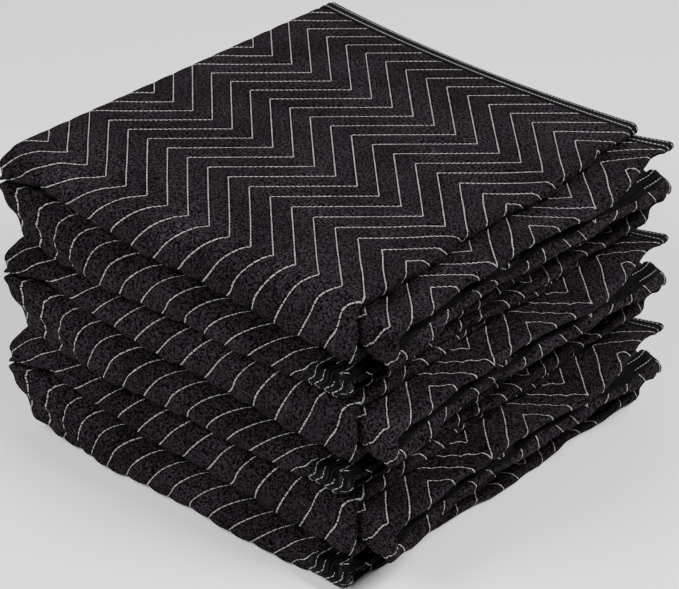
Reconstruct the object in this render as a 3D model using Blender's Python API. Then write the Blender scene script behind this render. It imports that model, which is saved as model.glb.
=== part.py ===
"""A stack of three quilted moving blankets, each folded into a pad of sixteen layers."""

import math

import bmesh
import bpy
from mathutils import Vector
from mathutils.geometry import delaunay_2d_cdt

# ---- Driving dimensions, in metres ------------------------------------------------------
BLANKET_LENGTH = 2.032          # folded along Y into four panels
BLANKET_WIDTH = 1.829           # folded along X into four plies
PLY_PITCH = 0.00725             # height taken by one layer of the pad
CLOTH = 0.0048                  # the quilted cloth's thickness
EDGE_CLOTH = 0.0024             # its thickness pressed flat inside the binding
TAPE = 0.0008                   # the binding tape's thickness
TAPE_WIDTH = 0.019              # how far the binding reaches in from the edge
SHOULDER = 0.030                # where the cloth is back to its full thickness
CLEARANCE = 0.00033             # gap between neighbouring pieces
PLY_RUN = 0.4556                # flat length of the face ply between its two folds
INNER_SET_IN = 0.045            # how far short of the wrapped fold the inner turn stops
MEAN_OVERHANG = 0.054           # what the free ply takes from the back ply's length

# ---- Quilting: lines of chevrons that run along the blanket's length ---------------------
CHEVRON_RUN = 0.0767            # length of one arm of a chevron along the blanket
CHEVRON_RISE = 0.080            # how far an arm climbs across the blanket
LINE_SPACING = 0.0303           # from one quilting line to the next, across the blanket
CHEVRON_PHASE = 0.003           # first peak, from the blanket's end
LINE_PHASE = 0.0248             # first line, from the wrapped fold
VALLEY = 0.0012                 # depth of a sewn line under the cloth's face
PUFF = 0.0008                   # height of the puff between two sewn lines
RELIEF_INSET = 0.006            # the raised quilting stops this far from a fold
SETTLING_STEPS = 6

# ---- The blanket's length, run by run from its top end -----------------------------------
# name, straight length, turn radius in ply pitches, turn direction, steps of the mesh
RUNS = (
    ("top_panel", 0.485, 0.0, 0, 4),
    ("upper_roll", 0.0, 2.0, 1, 6),
    ("second_panel", 0.448, 0.0, 0, 3),
    ("spine", 0.0, 4.0, -1, 6),
    ("bottom_panel", 0.464, 0.0, 0, 2),
    ("lower_roll", 0.0, 2.0, -1, 6),
)
TUCKED_STEPS = 2                # the last panel takes up what is left of the length
TOP_END_Y = 0.233
PANEL = RUNS[0][1]

# ---- How far the folding is from square ----------------------------------------------------
LIP_SKEW = 0.0311               # the lips run this much off the blanket's length
WRAP_SKEW = -0.0027             # and the wrapped folds this much
ROLL_SKEW = 0.055               # the rolls run this much off the blanket's width
END_SET_BACKS = (0.008, 0.014, 0.006)   # the top end's edge is drawn in: wrapped end, bow, lips
END_PULL = 0.009                # the lips' corner there is drawn in sideways
SET_BACK_REACH = 0.25           # share of the panel over which both fade
FLAP_SKEW = 0.20                # the free corner leans out past the top end
FLAP_REACH = 0.16               # length over which that fades

# ---- The pad's free ply, which reaches out past the lip and has its bound edge turned under --
# place (run number and share), flat reach past the lip's centre, slope of its droop
OVERHANG = (
    (0.00, 0.046, 0.00),
    (0.14, 0.047, 0.00),
    (0.25, 0.048, 0.00),
    (0.50, 0.045, 0.00),
    (0.75, 0.037, 0.00),
    (1.00, 0.042, 0.00),
    (1.50, 0.041, 0.10),
    (2.00, 0.038, 0.20),
    (2.33, 0.037, 0.28),
    (2.67, 0.040, 0.34),
    (3.00, 0.046, 0.36),
    (3.25, 0.044, 0.34),
    (3.50, 0.035, 0.25),
    (3.75, 0.021, 0.12),
    (4.00, 0.012, 0.00),
    (4.50, 0.009, 0.00),
    (6.00, 0.009, 0.00),
    (7.00, 0.011, 0.00),
)

# Folds across the width, from the back ply's free edge: segment, steps of the mesh.
SEGMENTS = (
    ("back_ply", 1),
    ("outer_wrap", 4),
    ("face_ply", 2),
    ("lip", 4),
    ("inner_ply", 1),
    ("inner_wrap", 2),
)
UNDER_STEPS = 4                 # of the turn that puts the free edge under
BACK_PLY_ROWS = (0.0, TAPE_WIDTH, SHOULDER)

OUTER_WRAP_RADIUS = 1.5 * PLY_PITCH
INNER_RADIUS = 0.5 * PLY_PITCH
OUTER_WRAP_ARC = math.pi * OUTER_WRAP_RADIUS
INNER_ARC = math.pi * INNER_RADIUS
INNER_RUN = PLY_RUN - INNER_SET_IN
BACK_PLY = BLANKET_WIDTH - OUTER_WRAP_ARC - 2 * INNER_ARC - PLY_RUN - 2 * INNER_RUN - MEAN_OVERHANG

# ---- The three pads, from the bottom ------------------------------------------------------
# name, spread of the pad under the load above it
PADS = (
    ("lower", 1.012),
    ("middle", 1.006),
    ("upper", 1.000),
)
PAD_FLOOR = 0.5 * PLY_PITCH - CLOTH / 2
PAD_HEIGHT = 16 * PLY_PITCH - 2 * PAD_FLOOR + PUFF
PAD_RISE = PAD_HEIGHT + CLEARANCE

CLOTH_COLOUR = (0.018, 0.017, 0.019, 1.0)
TAPE_COLOUR = (0.008, 0.008, 0.009, 1.0)
CLOTH_ROUGHNESS = 0.95
TAPE_ROUGHNESS = 0.8


def clear_scene():
    for item in list(bpy.data.objects):
        bpy.data.objects.remove(item, do_unlink=True)


def lay_out_runs():
    """Where each run starts: distance, y, z, heading; its length, radius, direction, steps."""
    rows = []
    distance = 0.0
    y = TOP_END_Y
    z = 14 * PLY_PITCH
    heading = math.pi
    for _name, straight, radius_in_plies, turn, steps in RUNS:
        radius = radius_in_plies * PLY_PITCH
        length = straight if turn == 0 else math.pi * radius
        rows.append((distance, y, z, heading, length, radius, turn, steps))
        if turn == 0:
            y += length * math.cos(heading)
        else:
            z += 2 * radius * (math.cos(heading) if turn > 0 else -math.cos(heading))
            heading += turn * math.pi
        distance += length
    rows.append((distance, y, z, heading, BLANKET_LENGTH - distance, 0.0, 0, TUCKED_STEPS))
    return rows


RUN_ROWS = lay_out_runs()


def run_of(s):
    """The run at distance s along the blanket, and the share of it that is passed."""
    index = 0
    for number, row in enumerate(RUN_ROWS):
        if s >= row[0]:
            index = number
    start, length = RUN_ROWS[index][0], RUN_ROWS[index][4]
    return index, (s - start) / length


def lengthwise(s):
    """The pad's middle at distance s: y, z and the direction its face ply looks."""
    index, share = run_of(s)
    _start, y, z, heading, length, radius, turn, _steps = RUN_ROWS[index]
    if turn == 0:
        y += share * length * math.cos(heading)
        return y, z, math.sin(heading), -math.cos(heading)
    angle = heading + turn * share * math.pi
    y += turn * radius * (math.sin(angle) - math.sin(heading))
    z -= turn * radius * (math.cos(angle) - math.cos(heading))
    return y, z, math.sin(angle), -math.cos(angle)


def overhang_at(s):
    """Flat reach of the free ply past the lip's centre and slope of its droop at distance s."""
    index, share = run_of(s)
    place = min(max(index + share, OVERHANG[0][0]), OVERHANG[-1][0])
    for low, high in zip(OVERHANG, OVERHANG[1:]):
        if place <= high[0]:
            part = (place - low[0]) / (high[0] - low[0])
            part = part * part * (3 - 2 * part)
            return tuple(a + part * (b - a) for a, b in zip(low[1:], high[1:]))
    return OVERHANG[-1][1:]


def segment_lengths(s):
    """Flat length of each fold segment across the blanket at distance s."""
    return {
        "back_ply": BACK_PLY,
        "outer_wrap": OUTER_WRAP_ARC,
        "face_ply": PLY_RUN,
        "lip": INNER_ARC,
        "inner_ply": INNER_RUN,
        "inner_wrap": INNER_ARC,
        "free_ply": INNER_RUN + overhang_at(s)[0] + INNER_ARC + TAPE_WIDTH,
    }


def crosswise(s, segment, d):
    """Fold section at distance d into a segment: x, level in the pad, and the face's normal."""
    if segment == "back_ply":
        return BACK_PLY - d, -OUTER_WRAP_RADIUS, 0.0, -1.0
    if segment == "outer_wrap":
        angle = d / OUTER_WRAP_RADIUS
        sine, cosine = math.sin(angle), math.cos(angle)
        return -OUTER_WRAP_RADIUS * sine, -OUTER_WRAP_RADIUS * cosine, -sine, -cosine
    if segment == "face_ply":
        return d, OUTER_WRAP_RADIUS, 0.0, 1.0
    if segment == "lip":
        angle = d / INNER_RADIUS
        sine, cosine = math.sin(angle), math.cos(angle)
        return PLY_RUN + INNER_RADIUS * sine, PLY_PITCH + INNER_RADIUS * cosine, sine, cosine
    if segment == "inner_ply":
        return PLY_RUN - d, INNER_RADIUS, 0.0, -1.0
    if segment == "inner_wrap":
        angle = d / INNER_RADIUS
        sine, cosine = math.sin(angle), math.cos(angle)
        return INNER_SET_IN - INNER_RADIUS * sine, INNER_RADIUS * cosine, sine, -cosine
    bend_at = PLY_RUN + overhang_at(s)[0]
    past = INNER_SET_IN + d - bend_at
    if past <= 0:
        return bend_at + past, -INNER_RADIUS, 0.0, 1.0
    angle = min(past / INNER_RADIUS, math.pi)
    sine, cosine = math.sin(angle), math.cos(angle)
    x = bend_at + INNER_RADIUS * sine + (past - INNER_RADIUS * angle) * cosine
    return x, INNER_RADIUS * (cosine - 2), sine, cosine


def place(s, segment, d, height):
    """Folded place of the point at (s, d in a segment), height off the cloth's middle."""
    y, z, face_y, face_z = lengthwise(s)
    x, level, normal_x, normal_level = crosswise(s, segment, d)
    level += height * normal_level
    x += height * normal_x
    y += face_y * level
    z += face_z * level
    if segment == "free_ply":
        past = max(0.0, x - PLY_RUN)
        y += FLAP_SKEW * past * max(0.0, 1 - s / FLAP_REACH)
        z -= overhang_at(s)[1] * past
    return settled(x, y, z, s)


def settled(x, y, z, s):
    """A point of the squarely folded pad moved to where the crooked folding puts it."""
    along = (TOP_END_Y - y) / PANEL
    across = x / PLY_RUN
    end_share = max(0.0, 1 - s / PANEL / SET_BACK_REACH)
    at_wrap, bow, at_lips = END_SET_BACKS
    set_back = at_wrap + (at_lips - at_wrap) * across + 4 * across * (1 - across) * bow
    skew = WRAP_SKEW + (LIP_SKEW - WRAP_SKEW) * across
    skewed_x = x - y * skew - END_PULL * across * end_share
    return Vector((skewed_x, y + ROLL_SKEW * x * along - set_back * end_share, z))


def unsettled(s, d):
    """The squarely folded top panel's point that settles at distances s and d."""
    square_s, square_d = s, d
    for _step in range(SETTLING_STEPS):
        moved = settled(square_d, TOP_END_Y - square_s, 0.0, square_s)
        square_s += s - (TOP_END_Y - moved.y)
        square_d += d - moved.x
    return square_s, square_d


def cross_rows():
    """Lines of the mesh along the blanket: segment, distance from its start or end."""
    rows = [("back_ply", "start", d) for d in BACK_PLY_ROWS]
    for segment, steps in SEGMENTS[1:]:
        rows.extend((segment, "share", step / steps) for step in range(steps))
    rows.extend(("free_ply", "start", d) for d in (0.0, INNER_RUN))
    rows.extend(("free_ply", "turn", step / UNDER_STEPS) for step in range(UNDER_STEPS))
    rows.extend(("free_ply", "end", d) for d in (TAPE_WIDTH, 0.0))
    return rows


def long_rows():
    """Distances along the blanket of the mesh's lines across it."""
    rows = [0.0, TAPE_WIDTH, SHOULDER]
    for start, _y, _z, _heading, length, _radius, _turn, steps in RUN_ROWS:
        rows.extend(start + step / steps * length for step in range(steps) if start + step > 0)
    rows.extend(BLANKET_LENGTH - d for d in (SHOULDER, TAPE_WIDTH, 0.0))
    return rows


def row_distance(s, row):
    segment, anchor, value = row
    length = segment_lengths(s)[segment]
    if anchor == "start":
        return value
    if anchor == "turn":
        return length - TAPE_WIDTH - (1 - value) * INNER_ARC
    return length - value if anchor == "end" else value * length


def half_thickness(s, row):
    """Half of the cloth's thickness: thin in the binding, full from the shoulder on."""
    segment, anchor, value = row
    edge = min(s, BLANKET_LENGTH - s)
    if (segment == "back_ply" and anchor == "start") or anchor == "end":
        edge = min(edge, value)
    return EDGE_CLOTH / 2 if edge < (TAPE_WIDTH + SHOULDER) / 2 else CLOTH / 2


def chevron(s):
    """Side step of a quilting line at distance s, from 0 to CHEVRON_RISE."""
    phase = (s - CHEVRON_PHASE) / CHEVRON_RUN
    return CHEVRON_RISE * abs(phase - 2 * math.floor(phase / 2) - 1)


def clipped(start, end, limits):
    """The part of a straight line between two points that is inside a box, or None."""
    low, high = 0.0, 1.0
    for axis, (least, most) in enumerate(limits):
        step = end[axis] - start[axis]
        if abs(step) < 1e-9:
            if not least <= start[axis] <= most:
                return None
            continue
        cuts = sorted(((least - start[axis]) / step, (most - start[axis]) / step))
        low, high = max(low, cuts[0]), min(high, cuts[1])
    if high - low < 1e-6:
        return None
    return [tuple(a + share * (b - a) for a, b in zip(start, end)) for share in (low, high)]


def quilting_lines(limits):
    """Straight stretches of the sewn lines and the puffs' ridges on the top face: ends, height."""
    count_s = math.ceil(PANEL / CHEVRON_RUN) + 2
    count_d = math.ceil((PLY_RUN + CHEVRON_RISE) / LINE_SPACING) + 2
    stretches = []
    for half in range(-2 * count_d, 2 * count_d):
        base = LINE_PHASE + half * LINE_SPACING / 2
        height = -VALLEY if half % 2 == 0 else PUFF
        kinks = [CHEVRON_PHASE + number * CHEVRON_RUN for number in range(-2, count_s)]
        line = [unsettled(s, base + chevron(s)) for s in kinks]
        for start, end in zip(line, line[1:]):
            inside = clipped(start, end, limits)
            if inside:
                stretches.append((inside, height))
    return stretches


def quilted_patch(border, s_low, s_high):
    """Triangles of the quilted top face inside a border of (s, d) points."""
    points = [Vector(point) for point in border]
    heights = [0.0] * len(points)
    edges = []
    limits = (
        (s_low + RELIEF_INSET, s_high - RELIEF_INSET),
        (RELIEF_INSET, PLY_RUN - RELIEF_INSET),
    )
    for ends, height in quilting_lines(limits):
        edges.append((len(points), len(points) + 1))
        points.extend(Vector(end) for end in ends)
        heights.extend([height] * 2)
    border_face = [list(range(len(border)))]
    found = delaunay_2d_cdt(points, edges, border_face, 1, 1e-6)
    flat, triangles, origins = found[0], found[2], found[3]
    heights = [heights[origin[0]] if origin else 0.0 for origin in origins]
    sources = [origin[0] if origin and origin[0] < len(border) else None for origin in origins]
    return flat, triangles, heights, sources


class Solid:
    """Points and triangles of one closed piece."""

    def __init__(self):
        self.points = []
        self.faces = []
        self.known = {}

    def add(self, point):
        """Index of a point; a point met before is used again."""
        key = tuple(round(value, 7) for value in point)
        if key not in self.known:
            self.known[key] = len(self.points)
            self.points.append(point)
        return self.known[key]

    def quad(self, a, b, c, d):
        for triangle in ((a, b, c), (a, c, d)):
            if len(set(triangle)) == 3:
                self.faces.append(triangle)


def folded_cloth():
    """One blanket's quilted sheet, both faces and its rim, folded into the pad."""
    solid = Solid()
    s_rows = long_rows()
    d_rows = cross_rows()
    sides = []
    for side in (1, -1):
        grid = []
        for s in s_rows:
            line = []
            for row in d_rows:
                d = row_distance(s, row)
                line.append(solid.add(place(s, row[0], d, side * half_thickness(s, row))))
            grid.append(line)
        sides.append(grid)
    face, back = sides
    first = s_rows.index(SHOULDER)
    last = s_rows.index(RUN_ROWS[1][0])
    low = d_rows.index(("face_ply", "share", 0.0))
    high = d_rows.index(("lip", "share", 0.0))
    i_end, j_end = len(s_rows) - 2, len(d_rows) - 2
    for i in range(i_end + 1):
        for j in range(j_end + 1):
            below = [back[i][j], back[i][j + 1], back[i + 1][j + 1], back[i + 1][j]]
            above = [face[i][j], face[i + 1][j], face[i + 1][j + 1], face[i][j + 1]]
            if (i, j) in ((0, j_end), (i_end, 0)):
                # These two corners are split along the binding's mitre.
                below = below[1:] + below[:1]
                above = above[1:] + above[:1]
            solid.quad(*below)
            if not (first <= i < last and low <= j < high):
                solid.quad(*above)
    add_quilted_face(solid, face, s_rows, (first, last), (low, high))
    for i in range(len(s_rows) - 1):
        for j in (0, len(d_rows) - 1):
            solid.quad(face[i][j], face[i + 1][j], back[i + 1][j], back[i][j])
    for j in range(len(d_rows) - 1):
        for i in (0, len(s_rows) - 1):
            solid.quad(face[i][j], face[i][j + 1], back[i][j + 1], back[i][j])
    return solid


def add_quilted_face(solid, face, s_rows, s_span, d_span):
    """Fill the top panel's upper face with raised quilting."""
    first, last = s_span
    low, high = d_span
    steps = high - low
    loop = [(i, low) for i in range(first, last)]
    loop += [(last, j) for j in range(low, high)]
    loop += [(i, high) for i in range(last, first, -1)]
    loop += [(first, j) for j in range(high, low, -1)]
    border = [(s_rows[i], PLY_RUN * (j - low) / steps) for i, j in loop]
    flat, triangles, heights, sources = quilted_patch(border, s_rows[first], s_rows[last])
    used = []
    for point, height, source in zip(flat, heights, sources):
        if source is not None:
            i, j = loop[source]
            used.append(face[i][j])
            continue
        used.append(solid.add(place(point.x, "face_ply", point.y, CLOTH / 2 + height)))
    solid.faces.extend(tuple(used[corner] for corner in triangle) for triangle in triangles)


def tape_section(inset_s, inset_d, locate):
    """The tape's eight section points at one place on the edge."""
    inner = EDGE_CLOTH / 2 + CLEARANCE
    outer = inner + TAPE
    over = -(CLEARANCE + TAPE)
    corners = (
        (over, outer), (TAPE_WIDTH, outer), (TAPE_WIDTH, inner), (-CLEARANCE, inner),
        (-CLEARANCE, -inner), (TAPE_WIDTH, -inner), (TAPE_WIDTH, -outer), (over, -outer),
    )
    return [locate(inset_s * inset, inset_d * inset, height) for inset, height in corners]


def edge_binding():
    """The tape folded over the sheet's four edges, mitred at the corners."""
    solid = Solid()
    s_inner = [s for s in long_rows() if TAPE_WIDTH <= s <= BLANKET_LENGTH - TAPE_WIDTH]
    d_inner = [
        row for row in cross_rows()
        if not (row[0] == "back_ply" and row[2] < TAPE_WIDTH)
        and not (row[1] == "end" and row[2] < TAPE_WIDTH)
    ]
    stations = []

    def corner(at_end, at_free):
        def locate(step_s, step_d, height):
            s = BLANKET_LENGTH - step_s if at_end else step_s
            if at_free:
                return place(s, "free_ply", segment_lengths(s)["free_ply"] - step_d, height)
            return place(s, "back_ply", step_d, height)
        stations.append((tape_section(1, 1, locate), at_end != at_free, not at_free))

    def along(s, at_free):
        def locate(_step_s, step_d, height):
            if at_free:
                return place(s, "free_ply", segment_lengths(s)["free_ply"] - step_d, height)
            return place(s, "back_ply", step_d, height)
        stations.append((tape_section(0, 1, locate), False, not at_free))

    def across(row, at_end):
        def locate(step_s, _step_d, height):
            s = BLANKET_LENGTH - step_s if at_end else step_s
            return place(s, row[0], row_distance(s, row), height)
        stations.append((tape_section(1, 0, locate), True, at_end))

    corner(False, False)
    for s in s_inner:
        along(s, False)
    corner(True, False)
    for row in d_inner:
        across(row, True)
    corner(True, True)
    for s in reversed(s_inner):
        along(s, True)
    corner(False, True)
    for row in reversed(d_inner):
        across(row, False)

    # Each quad is split the way the sheet under it is, so the two never cross where they twist.
    rings = [[solid.add(point) for point in station[0]] for station in stations]
    for ring, following, station in zip(rings, rings[1:] + rings[:1], stations):
        _section, is_across, is_forward = station
        for k in range(len(ring)):
            other = (k + 1) % len(ring)
            corners = (ring[k], ring[other], following[other], following[k])
            is_turned = (k == 7) == is_forward if k % 2 else (k % 4 == 2) != is_across
            if is_turned:
                corners = corners[1:] + corners[:1]
            solid.quad(*corners)
    return solid


def material_for(name, colour, roughness):
    material = bpy.data.materials.new(name)
    material.use_nodes = True
    shader = material.node_tree.nodes["Principled BSDF"]
    shader.inputs["Base Color"].default_value = colour
    shader.inputs["Roughness"].default_value = roughness
    material.diffuse_color = colour
    return material


def make_object(name, solid, offset, spread, material):
    mesh = bpy.data.meshes.new(name)
    points = [
        (point.x * spread + offset.x, point.y * spread + offset.y, point.z + offset.z)
        for point in solid.points
    ]
    mesh.from_pydata(points, [], solid.faces)
    shaped = bmesh.new()
    shaped.from_mesh(mesh)
    bmesh.ops.recalc_face_normals(shaped, faces=shaped.faces)
    for face in shaped.faces:
        face.smooth = True
    shaped.to_mesh(mesh)
    shaped.free()
    mesh.set_sharp_from_angle(angle=math.radians(50))
    item = bpy.data.objects.new(name, mesh)
    mesh.materials.append(material)
    bpy.context.scene.collection.objects.link(item)
    return item


def build():
    clear_scene()
    cloth = folded_cloth()
    tape = edge_binding()
    points = cloth.points + tape.points
    middle_x = (min(p.x for p in points) + max(p.x for p in points)) / 2
    middle_y = (min(p.y for p in points) + max(p.y for p in points)) / 2
    for number, (name, spread) in enumerate(PADS):
        offset = Vector((-middle_x * spread, -middle_y * spread, number * PAD_RISE - PAD_FLOOR))
        cloth_material = material_for(name + "_quilted_cloth", CLOTH_COLOUR, CLOTH_ROUGHNESS)
        tape_material = material_for(name + "_binding_tape", TAPE_COLOUR, TAPE_ROUGHNESS)
        make_object(name + "_blanket", cloth, offset, spread, cloth_material)
        make_object(name + "_binding", tape, offset, spread, tape_material)


build()
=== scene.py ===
"""Three folded quilted moving blankets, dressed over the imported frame: cloth, binding, thread."""

import math

import bpy
import numpy as np
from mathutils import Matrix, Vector


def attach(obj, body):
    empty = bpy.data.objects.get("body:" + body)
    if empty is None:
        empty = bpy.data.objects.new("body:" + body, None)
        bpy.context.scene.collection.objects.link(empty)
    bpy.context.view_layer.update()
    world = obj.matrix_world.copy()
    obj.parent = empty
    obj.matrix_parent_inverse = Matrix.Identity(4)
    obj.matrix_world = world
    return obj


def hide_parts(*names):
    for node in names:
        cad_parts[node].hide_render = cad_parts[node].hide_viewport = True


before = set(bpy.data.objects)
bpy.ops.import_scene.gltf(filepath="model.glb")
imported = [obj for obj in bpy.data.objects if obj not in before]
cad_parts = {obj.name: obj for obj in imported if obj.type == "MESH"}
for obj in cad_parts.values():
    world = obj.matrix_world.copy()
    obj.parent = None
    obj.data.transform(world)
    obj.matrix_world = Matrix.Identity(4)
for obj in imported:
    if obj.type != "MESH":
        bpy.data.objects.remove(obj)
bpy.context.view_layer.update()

# ---- The folded blanket, in metres: the solids' fold, its free ply a little shorter ----
BLANKET_LENGTH = 2.032      # folded along Y into four panels
BLANKET_WIDTH = 1.829       # folded along X into four plies
PLY_PITCH = 0.00725         # height taken by one layer of the pad
CLOTH = 0.0048              # the quilted cloth's thickness
EDGE_CLOTH = 0.0024         # the same, pressed flat in the binding
TAPE = 0.0008               # the binding tape's thickness
TAPE_WIDTH = 0.019          # how far the binding reaches in
SHOULDER = 0.030            # where the cloth is full again
CLEARANCE = 0.00033         # gap between neighbouring pieces
LAYERS = 16                 # layers of a folded pad
PUFF = 0.0008               # height of the puff between two sewn lines
PLY_RUN = 0.4556            # flat length of the face ply between its two folds
INNER_SET_IN = 0.045        # how far short of the wrapped fold the inner turn stops
MEAN_OVERHANG = 0.054       # what the free ply takes from the back ply's length

# Runs along the length, by number. The tucked panel, 6, takes what is left of it.
TOP_PANEL, UPPER_ROLL, SPINE, BOTTOM_PANEL, LOWER_ROLL = 0, 1, 3, 4, 5
# name, straight length, turn radius in ply pitches, turn direction
RUNS = (
    ("top_panel", 0.485, 0.0, 0),
    ("upper_roll", 0.0, 2.0, 1),
    ("second_panel", 0.448, 0.0, 0),
    ("spine", 0.0, 4.0, -1),
    ("bottom_panel", 0.464, 0.0, 0),
    ("lower_roll", 0.0, 2.0, -1),
)
TOP_END_Y = 0.233           # where the top panel ends, in the fold's own frame
TOP_LEVEL = 14              # height of its middle there, in ply pitches
PANEL = RUNS[TOP_PANEL][1]

# How far the folding is from square.
LIP_SKEW = 0.0311           # the lips run this much off the blanket's length
WRAP_SKEW = -0.0027         # and the wrapped folds this much
ROLL_SKEW = 0.055           # the rolls this much off its width
END_SET_BACKS = (0.008, 0.014, 0.006)   # the top end's edge is drawn in: wrapped end, bow, lips
END_PULL = 0.012            # the lips' corner there is drawn in sideways
SET_BACK_REACH = 0.25       # share of the panel over which both fade
FLAP_SKEW = 0.28            # the free corner leans out past the top end
FLAP_REACH = 0.16           # length over which that fades

# The free ply past the lip: place (run number and share), flat reach past the lip's centre, droop
OVERHANG = np.array((
    (0.00, 0.038, 0.00),
    (0.14, 0.042, 0.00),
    (0.25, 0.048, 0.00),
    (0.50, 0.045, 0.00),
    (0.75, 0.037, 0.00),
    (1.00, 0.042, 0.00),
    (1.50, 0.041, 0.10),
    (2.00, 0.038, 0.20),
    (2.33, 0.037, 0.28),
    (2.67, 0.040, 0.34),
    (3.00, 0.046, 0.36),
    (3.25, 0.041, 0.34),
    (3.50, 0.028, 0.25),
    (3.75, 0.016, 0.12),
    (4.00, 0.012, 0.00),
    (4.50, 0.009, 0.00),
    (6.00, 0.009, 0.00),
    (7.00, 0.011, 0.00),
))

OUTER_WRAP_RADIUS = 1.5 * PLY_PITCH
INNER_RADIUS = 0.5 * PLY_PITCH
OUTER_WRAP_ARC = math.pi * OUTER_WRAP_RADIUS
INNER_ARC = math.pi * INNER_RADIUS
INNER_RUN = PLY_RUN - INNER_SET_IN
BACK_PLY = BLANKET_WIDTH - OUTER_WRAP_ARC - 2 * INNER_ARC - PLY_RUN - 2 * INNER_RUN - MEAN_OVERHANG

# Segments across the width, by number, and the flat distance at which each starts.
BACK, WRAP, FACE, LIP, INNER, TURN, FREE = range(7)
SEGMENT_STARTS = np.concatenate(([0.0], np.cumsum(
    [BACK_PLY, OUTER_WRAP_ARC, PLY_RUN, INNER_ARC, INNER_RUN, INNER_ARC - INNER_SET_IN])))
FACE_START = SEGMENT_STARTS[FACE]
SEGMENT_BOUNDS = SEGMENT_STARTS + np.array((0, 0, 0, 0, 0, 0, INNER_SET_IN))

# name, spread of the pad under the load above it
PADS = (("lower", 1.012), ("middle", 1.006), ("upper", 1.000))
PAD_FLOOR = 0.5 * PLY_PITCH - CLOTH / 2
PAD_HEIGHT = LAYERS * PLY_PITCH - 2 * PAD_FLOOR + PUFF
PAD_RISE = PAD_HEIGHT + CLEARANCE
MIDDLE = (0.2490, -0.0252)  # of the folded solids, in the fold's own frame


def lay_out_runs():
    """Where each run starts: distance, y, z, heading, length, radius, turn."""
    rows = []
    distance, y, z, heading = 0.0, TOP_END_Y, TOP_LEVEL * PLY_PITCH, math.pi
    for _name, straight, radius_in_plies, turn in RUNS:
        radius = radius_in_plies * PLY_PITCH
        length = straight if turn == 0 else math.pi * radius
        rows.append((distance, y, z, heading, length, radius, turn))
        if turn == 0:
            y += length * math.cos(heading)
        else:
            z += 2 * radius * (math.cos(heading) if turn > 0 else -math.cos(heading))
            heading += turn * math.pi
        distance += length
    rows.append((distance, y, z, heading, BLANKET_LENGTH - distance, 0.0, 0))
    return np.array(rows)


RUN_ROWS = lay_out_runs()
RUN_STARTS = RUN_ROWS[:, 0]
RUN_LENGTHS = RUN_ROWS[:, 4]


def segment_of(across):
    """The segment in which a distance across the flat cloth lies."""
    return np.clip(np.searchsorted(SEGMENT_BOUNDS, across, side="right") - 1, 0, FREE)


def smooth(value):
    """An even start and end between 0 and 1."""
    value = np.clip(value, 0.0, 1.0)
    return value * value * (3 - 2 * value)


def rise(value, start, end):
    """Smoothly from 0 at start to 1 at end, whichever of the two is the larger."""
    return smooth((value - start) / (end - start))


def run_of(s):
    """The run in which a distance along the blanket lies, and the share of it behind that place."""
    index = np.clip(np.searchsorted(RUN_STARTS, s, side="right") - 1, 0, len(RUN_ROWS) - 1)
    return index, (s - RUN_STARTS[index]) / RUN_LENGTHS[index]


def lengthwise(s):
    """The pad's middle at distances s: y, z and the direction the face ply looks."""
    index, share = run_of(s)
    _start, y, z, heading, length, radius, turn = RUN_ROWS[index].T
    angle = heading + turn * share * math.pi
    straight = turn == 0
    y = y + np.where(straight, share * length * np.cos(heading),
                     turn * radius * (np.sin(angle) - np.sin(heading)))
    z = z - turn * radius * (np.cos(angle) - np.cos(heading))
    return y, z, np.sin(angle), -np.cos(angle)


def overhang_at(s):
    """Flat reach of the free ply past the lip's centre and slope of its droop at distances s."""
    index, share = run_of(s)
    place_of = np.clip(index + share, OVERHANG[0, 0], OVERHANG[-1, 0])
    low = np.clip(np.searchsorted(OVERHANG[:, 0], place_of, side="right") - 1, 0, len(OVERHANG) - 2)
    part = (place_of - OVERHANG[low, 0]) / (OVERHANG[low + 1, 0] - OVERHANG[low, 0])
    part = smooth(part)[:, None]
    values = OVERHANG[low, 1:] + part * (OVERHANG[low + 1, 1:] - OVERHANG[low, 1:])
    return values[:, 0], values[:, 1]


def free_edge(s):
    """Where the free ply ends, its bound edge turned under."""
    return PLY_RUN + overhang_at(s)[0] + INNER_ARC + TAPE_WIDTH


def crosswise(s, segment, d):
    """Fold section: x, level in the pad, and the face's normal."""
    wide = d / OUTER_WRAP_RADIUS
    tight = d / INNER_RADIUS
    bend_at = PLY_RUN + overhang_at(s)[0]
    past = d - bend_at
    under = np.clip(past / INNER_RADIUS, 0, math.pi)
    zero, one = np.zeros_like(d), np.ones_like(d)
    is_segment = [segment == number for number in range(7)]
    x = np.select(is_segment, (
        BACK_PLY - d, -OUTER_WRAP_RADIUS * np.sin(wide), d, PLY_RUN + INNER_RADIUS * np.sin(tight),
        PLY_RUN - d, INNER_SET_IN - INNER_RADIUS * np.sin(tight),
        bend_at + INNER_RADIUS * np.sin(under) + (past - INNER_RADIUS * under) * np.cos(under)))
    level = np.select(is_segment, (
        -OUTER_WRAP_RADIUS * one, -OUTER_WRAP_RADIUS * np.cos(wide), OUTER_WRAP_RADIUS * one,
        PLY_PITCH + INNER_RADIUS * np.cos(tight), INNER_RADIUS * one,
        INNER_RADIUS * np.cos(tight), INNER_RADIUS * (np.cos(under) - 2)))
    normal_x = np.select(is_segment, (
        zero, -np.sin(wide), zero, np.sin(tight), zero, np.sin(tight), np.sin(under)))
    normal_level = np.select(is_segment, (
        -one, -np.cos(wide), one, np.cos(tight), -one, -np.cos(tight), np.cos(under)))
    return x, level, normal_x, normal_level


def settled(x, y, s):
    """Plan place after the crooked folding."""
    along = (TOP_END_Y - y) / PANEL
    across = x / PLY_RUN
    end_share = np.clip(1 - s / PANEL / SET_BACK_REACH, 0, None)
    at_wrap, bow, at_lips = END_SET_BACKS
    set_back = at_wrap + (at_lips - at_wrap) * across + 4 * across * (1 - across) * bow
    skew = WRAP_SKEW + (LIP_SKEW - WRAP_SKEW) * across
    return (x - y * skew - END_PULL * across * end_share,
            y + ROLL_SKEW * x * along - set_back * end_share)


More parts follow.
